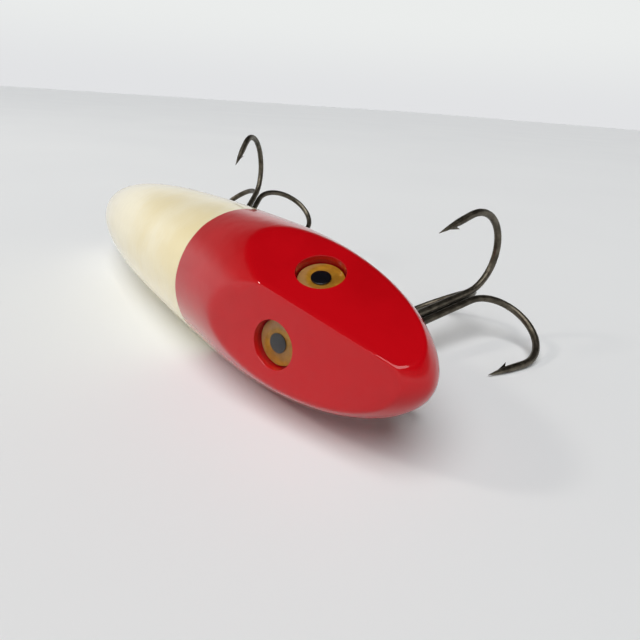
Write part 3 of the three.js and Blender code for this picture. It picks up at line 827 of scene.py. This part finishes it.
for name, treble in TREBLES.items():
    place = treble_frame(treble)
    double = piece_from(swept_wire(smoothed(double_hook_path(), 1)), f"{name}_double_wire",
                        BRONZED_STEEL, place)
    barbs = [barb(PRONG_AZIMUTH, place), barb(-PRONG_AZIMUTH, place)]
    join_solids(double, barbs, "UNION")
    finish(double, f"{name}_treble", f"{name}_treble_double_hook")
    path = smoothed(prong_path(0.0, SHANK_START + SINGLE_HOOK_DROP), 1)
    single = piece_from(swept_wire(path), f"{name}_single_wire", BRONZED_STEEL, place)
    join_solids(single, [barb(0.0, place)], "UNION")
    finish(single, f"{name}_treble", f"{name}_treble_single_hook")
    bead = piece_from(solder_bead(), f"{name}_solder_bead", SOLDER, place)
    finish(bead, f"{name}_treble", f"{name}_treble_solder")

# %% [markdown]
# ## Floor, light and camera
# The lure lies on a pale sheet. Enamel shows what stands round it, so the sky of this little
# studio is part of the finish: pale near the floor, grey at mid height and dark overhead, so
# that the facet that faces up stays a deep red. The main light is a sun with a very broad
# disc, which lights the whole sheet evenly, as a large soft window would. A small round lamp
# puts the thin bright lines on the edges.

# %% Pale floor
FLOOR_HALF_SIZE = 3.0
FLOOR_GAP = 0.02 * MM


def pale_sheet():
    material = bpy.data.materials.new("pale_matt_sheet")
    material.use_nodes = True
    tree = material.node_tree
    shader = tree.nodes["Principled BSDF"]
    shader.inputs["Roughness"].default_value = 0.75
    shader.inputs["Specular IOR Level"].default_value = 0.0
    place = add(tree, "ShaderNodeTexCoord").outputs["Object"]
    tone = add(tree, "ShaderNodeTexNoise", {"Vector": place}, in_Scale=9.0, in_Detail=3.0)
    tree.links.new(blend(tree, tone.outputs["Fac"], colour("E4E6E8"), colour("EAECED")),
                   shader.inputs["Base Color"])
    return material


bm = bmesh.new()
bmesh.ops.create_grid(bm, x_segments=1, y_segments=1, size=FLOOR_HALF_SIZE)
floor_mesh = bpy.data.meshes.new("pale_floor")
bm.to_mesh(floor_mesh)
bm.free()
floor_mesh.materials.append(pale_sheet())
floor = bpy.data.objects.new("pale_floor", floor_mesh)
floor.location.z = cad_box[0][2] - FLOOR_GAP
bpy.context.scene.collection.objects.link(floor)
print("floor height, mm:", round(floor.location.z / MM, 3))

# %% Sky and lamps
# Heights in the sky are the sine of the angle above the floor.
HORIZON, PALE_HEIGHT = 0.0, 0.14
GREY_START, GREY_END, DARK_HEIGHT = 0.17, 0.4, 0.62
SKY_STRENGTH = 0.95
SUN_DISC = math.radians(50)


def studio_sky():
    world = bpy.data.worlds.new("studio_sky")
    world.use_nodes = True
    tree = world.node_tree
    back = tree.nodes["Background"]
    place = add(tree, "ShaderNodeTexCoord").outputs["Generated"]
    height = add(tree, "ShaderNodeSeparateXYZ", {"Vector": place}).outputs["Z"]
    skyline = curve_value(tree, height, HORIZON, PALE_HEIGHT)
    low = curve_value(tree, height, GREY_START, GREY_END)
    high = curve_value(tree, height, GREY_END, DARK_HEIGHT)
    pale = blend(tree, skyline, colour("E7E8EA"), colour("F0F2F1"))
    lower = blend(tree, low, pale, colour("8C8986"))
    tree.links.new(blend(tree, high, lower, colour("14110F")), back.inputs["Color"])
    back.inputs["Strength"].default_value = SKY_STRENGTH
    return world


def hang_lamp(light, place, strength, tint):
    """Hangs a lamp at a place, in metres, and turns it to the lure at the origin."""
    light.energy = strength
    light.color = colour(tint)[:3]
    lamp_object = bpy.data.objects.new(light.name, light)
    lamp_object.location = place
    lamp_object.rotation_euler = Vector(place).to_track_quat("Z", "Y").to_euler()
    bpy.context.scene.collection.objects.link(lamp_object)


bpy.context.scene.world = studio_sky()
broad_sun = bpy.data.lights.new("overhead_softbox", "SUN")
broad_sun.angle = SUN_DISC
hang_lamp(broad_sun, place=(0.25, -0.35, 0.85), strength=2.45, tint="FFFFFF")
edge_lamp = bpy.data.lights.new("edge_lamp", "AREA")
edge_lamp.shape = "DISK"
edge_lamp.size = 0.1
hang_lamp(edge_lamp, place=(-0.30, -0.55, 0.51), strength=0.9, tint="FFF9F0")
bpy.context.scene.view_settings.view_transform = "Standard"

# %% Camera
# The place and both directions are in the body's frame, and the place is in millimetres.
CAMERA_PLACE = Vector((27.22, -2.23, 39.52))
CAMERA_HEADING = Vector((-0.7497, 0.0459, -0.6601))
CAMERA_UP = Vector((-0.3334, 0.8355, 0.4368))
LENS, SENSOR = 29.2, 36.0

camera_data = bpy.data.cameras.new("camera")
camera_data.lens = LENS
camera_data.sensor_width = SENSOR
camera_data.clip_start = 0.001
camera = bpy.data.objects.new("camera", camera_data)
right = CAMERA_HEADING.cross(CAMERA_UP)
axes = Matrix((right, CAMERA_UP, -CAMERA_HEADING)).transposed()
camera.matrix_world = (Matrix.Translation(BODY_FRAME @ CAMERA_PLACE)
                       @ (rest_turn @ axes).to_4x4())
bpy.context.scene.collection.objects.link(camera)
bpy.context.scene.camera = camera
print("camera at, mm:", [round(value / MM, 1) for value in camera.location])

# %% Measure and finish
bpy.context.view_layer.update()
print("CAD box, mm:", [[round(value / MM, 2) for value in corner] for corner in cad_box])
